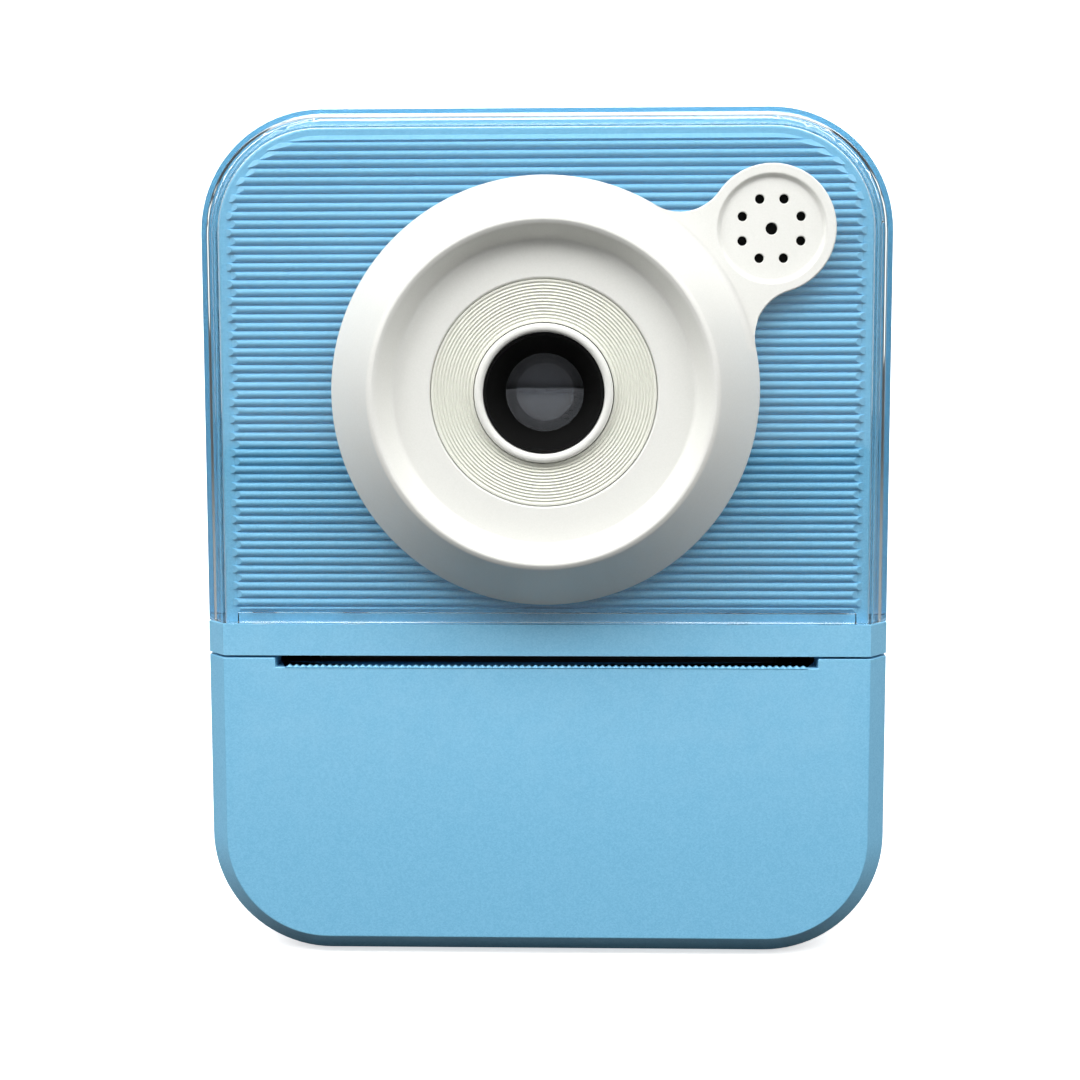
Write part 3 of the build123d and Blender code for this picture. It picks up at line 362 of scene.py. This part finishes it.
finishes = {
    "shell_blue": moulding("satin_blue_shell", (0.165, 0.47, 0.71), (0.235, 0.57, 0.81), 0.40,
                           per_metre=6500.0, speckle=0.8, depth=9e-6, worn=(0.36, 0.66, 0.86)),
    "cover_clear": clear("clear_moulding", (0.93, 0.985, 1.0), 0.02, 1.49),
    "bezel_white": moulding("warm_white_bezel", (0.74, 0.745, 0.705), (0.79, 0.79, 0.755), 0.45,
                            depth=4e-6, Specular_IOR_Level=0.3),
    "ring_cream": moulding("cream_ring", (0.72, 0.73, 0.645), (0.77, 0.775, 0.695), 0.5, depth=4e-6),
    "barrel_black": moulding("matt_black_barrel", (0.002, 0.002, 0.002), (0.005, 0.005, 0.005), 0.6,
                             wear=0.05, Specular_IOR_Level=0.12),
    "lens_glass": clear("lens_glass", (0.60, 0.63, 0.68), 0.0, 1.6, change=0.0, Specular_IOR_Level=0.12),
    "chip_black": moulding("chip_black", (0.010, 0.010, 0.011), (0.022, 0.022, 0.024), 0.5),
    "board_green": moulding("board_green", (0.006, 0.075, 0.03), (0.015, 0.13, 0.05), 0.35,
                            per_metre=2600.0),
    # Near-black capsule cloth: its darkness also paints the shade seen inside the speaker holes in front of
    # it
    "capsule_metal": moulding("capsule_cloth_and_hole_shade", (0.003, 0.003, 0.003), (0.009, 0.009, 0.009), 0.9,
                              per_metre=5000.0, depth=2e-5, Specular_IOR_Level=0.15),
    "steel": moulding("bright_steel", (0.52, 0.53, 0.55), (0.66, 0.67, 0.69), 0.28, per_metre=3000.0,
                      depth=3e-6, Metallic=1.0),
    "head_ceramic": moulding("head_ceramic", (0.30, 0.29, 0.27), (0.40, 0.39, 0.36), 0.25),
    "sink_aluminium": moulding("sink_aluminium", (0.62, 0.63, 0.64), (0.72, 0.73, 0.74), 0.38,
                               Metallic=1.0),
    "frame_black": moulding("frame_black", (0.012, 0.012, 0.013), (0.028, 0.028, 0.030), 0.55),
    "window_glass": moulding("dark_window", (0.006, 0.006, 0.008), (0.010, 0.010, 0.013), 0.06,
                             per_metre=900.0, depth=1e-6, wear=0.2, change=0.06),
    "screen": moulding("display_panel", (0.010, 0.012, 0.016), (0.018, 0.020, 0.026), 0.18),
    "battery_wrap": moulding("battery_wrap", (0.30, 0.32, 0.34), (0.42, 0.44, 0.46), 0.3,
                             per_metre=1200.0, depth=2e-5),
    "gear_nylon": moulding("gear_nylon", (0.70, 0.69, 0.62), (0.80, 0.79, 0.73), 0.42),
    "roller_rubber": moulding("roller_rubber", (0.016, 0.016, 0.017), (0.034, 0.034, 0.035), 0.75,
                              depth=1.4e-5),
    "thermal_paper": moulding("thermal_paper", (0.80, 0.80, 0.78), (0.88, 0.88, 0.86), 0.75,
                              per_metre=9000.0),
    "core_card": moulding("core_card", (0.36, 0.25, 0.15), (0.50, 0.37, 0.24), 0.85, per_metre=4000.0),
    "key_white": moulding("white_keys", (0.74, 0.745, 0.71), (0.80, 0.80, 0.77), 0.40, depth=4e-6),
}


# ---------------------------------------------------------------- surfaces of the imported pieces

def middle_of(name):
    """The middle of a node's box at rest, in mm."""
    low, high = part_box(name)
    return (Vector(low) + Vector(high)) / 2 / mm


def rounded_form(node, width_at, steps, limit=24.0):
    """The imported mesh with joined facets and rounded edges; edges that bend less than limit are left."""
    form = bmesh.new()
    form.from_mesh(node.data)
    bmesh.ops.remove_doubles(form, verts=form.verts, dist=2e-6)
    bmesh.ops.dissolve_limit(
        form, angle_limit=math.radians(0.2), use_dissolve_boundaries=False, verts=form.verts, edges=form.edges
    )
    widths = {}
    for edge in form.edges:
        if len(edge.link_faces) == 2 and edge.calc_face_angle() > math.radians(limit):
            width = width_at((edge.verts[0].co + edge.verts[1].co) / 2 / mm)
            if width:
                widths.setdefault(width, []).append(edge)
    for width in sorted(widths, reverse=True):
        bmesh.ops.bevel(
            form, geom=[edge for edge in widths[width] if edge.is_valid], offset=width * mm,
            offset_type="OFFSET", segments=steps, profile=0.5, affect="EDGES", clamp_overlap=False,
        )
    for face in form.faces:
        face.smooth = True
    return form


def round_edges(name, width_at, steps=3):
    """A copy with rounded edges in the node's place; width_at gives each edge's width in mm, or 0."""
    node = nodes[name]
    form = rounded_form(node, width_at, steps)
    mesh = bpy.data.meshes.new(name + "_rounded")
    form.to_mesh(mesh)
    form.free()
    if "custom_normal" in mesh.attributes:
        mesh.attributes.remove(mesh.attributes["custom_normal"])
    mesh.materials.clear()
    mesh.materials.append(finishes[slots[name]])
    piece = add_object(name + "_rounded", mesh)
    even = piece.modifiers.new("even", "WEIGHTED_NORMAL")
    even.keep_sharp = False
    even.weight = 80
    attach(piece, body_of[name])
    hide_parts(name)


def bezel_width(place):
    """Wide on the rim and its well, fine round the holes, none where the cone runs into the neck."""
    cone_foot, well, neck_reach, holes = 25.2, 23.0, 22.0, 5.6
    behind_rim = place.y - rim_y
    from_axis = math.hypot(place.x - lens_axis.x, place.z - lens_axis.z)
    from_lobe = math.hypot(place.x - lobe.x, place.z - lobe.z)
    if abs(from_axis - cone_foot) < 0.9 and from_lobe < neck_reach and behind_rim > 6.9:
        return 0
    if behind_rim < 8.2 and from_lobe < holes:
        return 0.08
    if behind_rim > 8.9:
        return 0
    if behind_rim < 2.5:
        return 0.5
    return 0.3 if from_axis < well else 0.2


aim_camera()
lay_floor()
light_room()

for name, node in nodes.items():
    node.data.materials.clear()
    node.data.materials.append(finishes[slots[name]])

lens_axis = middle_of("fluted_ring")
lobe = middle_of("sound_capsule")
rim_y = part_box("lens_bezel")[0][1] / mm
round_edges("lens_bezel", bezel_width)
round_edges("paper_door", lambda place: 0.12, 2)
round_edges("rear_housing", lambda place: 0.15, 2)
round_edges("clear_cover", lambda place: 0.18, 2)
